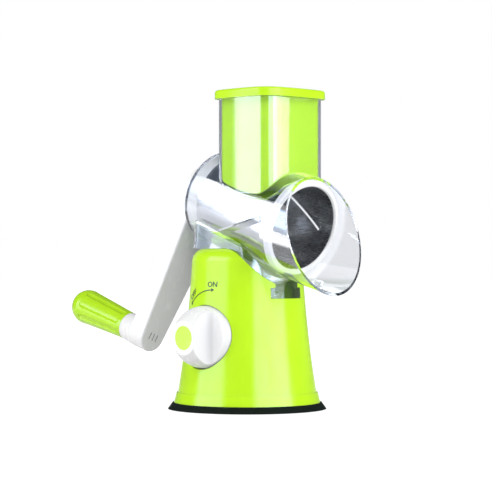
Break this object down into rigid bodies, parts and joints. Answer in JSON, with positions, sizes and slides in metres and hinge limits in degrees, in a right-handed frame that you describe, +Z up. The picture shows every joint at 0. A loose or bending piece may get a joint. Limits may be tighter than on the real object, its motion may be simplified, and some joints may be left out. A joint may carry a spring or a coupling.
{
  "type": "rotary cabbage shredder",
  "caption": "Hand-cranked drum shredder on a suction base, with a clear feed chute, a pusher and a turning crank grip.",
  "frame": {"origin": "centre of the suction cup on the table", "axes": "+Z up; the drum's mouth faces -Y, the crank is at +Y and the lock knob at -X"},
  "size_m": [0.142, 0.2758, 0.2687],
  "materials": {
    "rubber": "matt black rubber",
    "green": "glossy lime-green moulding",
    "white": "glossy white moulding",
    "clear": "clear polycarbonate, polished",
    "drum_steel": "polished stainless sheet",
    "steel": "plain machined steel",
    "bush": "natural acetal"
  },
  "bodies": {
    "base": {"suction_cup": "rubber", "base_ring": "green", "ring_screws": "steel", "base_housing": "green", "stem_spring": "steel", "clear_housing": "clear", "bearing_bush": "bush"},
    "stem": {"suction_stem": "bush"},
    "knob": {"lock_shaft": "steel", "lock_shaft_clip": "steel", "lock_knob": "white", "knob_cap": "green", "knob_screw": "steel"},
    "rotor": {"drum_shell": "drum_steel", "drum_front_ring": "white", "drum_hub": "white", "crank_shaft": "steel", "crank_shaft_clip": "steel", "crank_arm": "white", "crank_screw": "steel", "grip_pin": "steel"},
    "grip": {"crank_grip": "green", "grip_cap": "green"},
    "pusher": {"pusher_body": "green", "pusher_lid": "green"}
  },
  "joints": [
    {"name": "crank_turn", "type": "hinge", "parent": "base", "child": "rotor", "pos_m": [0, 0.02884, 0.17977], "axis": [0, 0.9613, 0.2756], "continuous": true},
    {"name": "grip_spin", "type": "hinge", "parent": "rotor", "child": "grip", "pos_m": [-0.04112, 0.1295, 0.07541], "axis": [0, 0.9613, 0.2756], "continuous": true},
    {"name": "knob_turn", "type": "hinge", "parent": "base", "child": "knob", "pos_m": [-0.0443, 0, 0.062], "axis": [1, 0, 0], "range_deg": [0, 90]},
    {"name": "stem_lift", "type": "slide", "parent": "base", "child": "stem", "axis": [0, 0, 1], "range_m": [0, 0.0025], "deforming": ["stem_spring"]},
    {"name": "pusher_slide", "type": "slide", "parent": "base", "child": "pusher", "axis": [0, 0, 1], "range_m": [0, 0.085]}
  ],
  "couplings": [
    {"joint": "stem_lift", "follows": "knob_turn", "m_per_rad": 0.0015915}
  ]
}
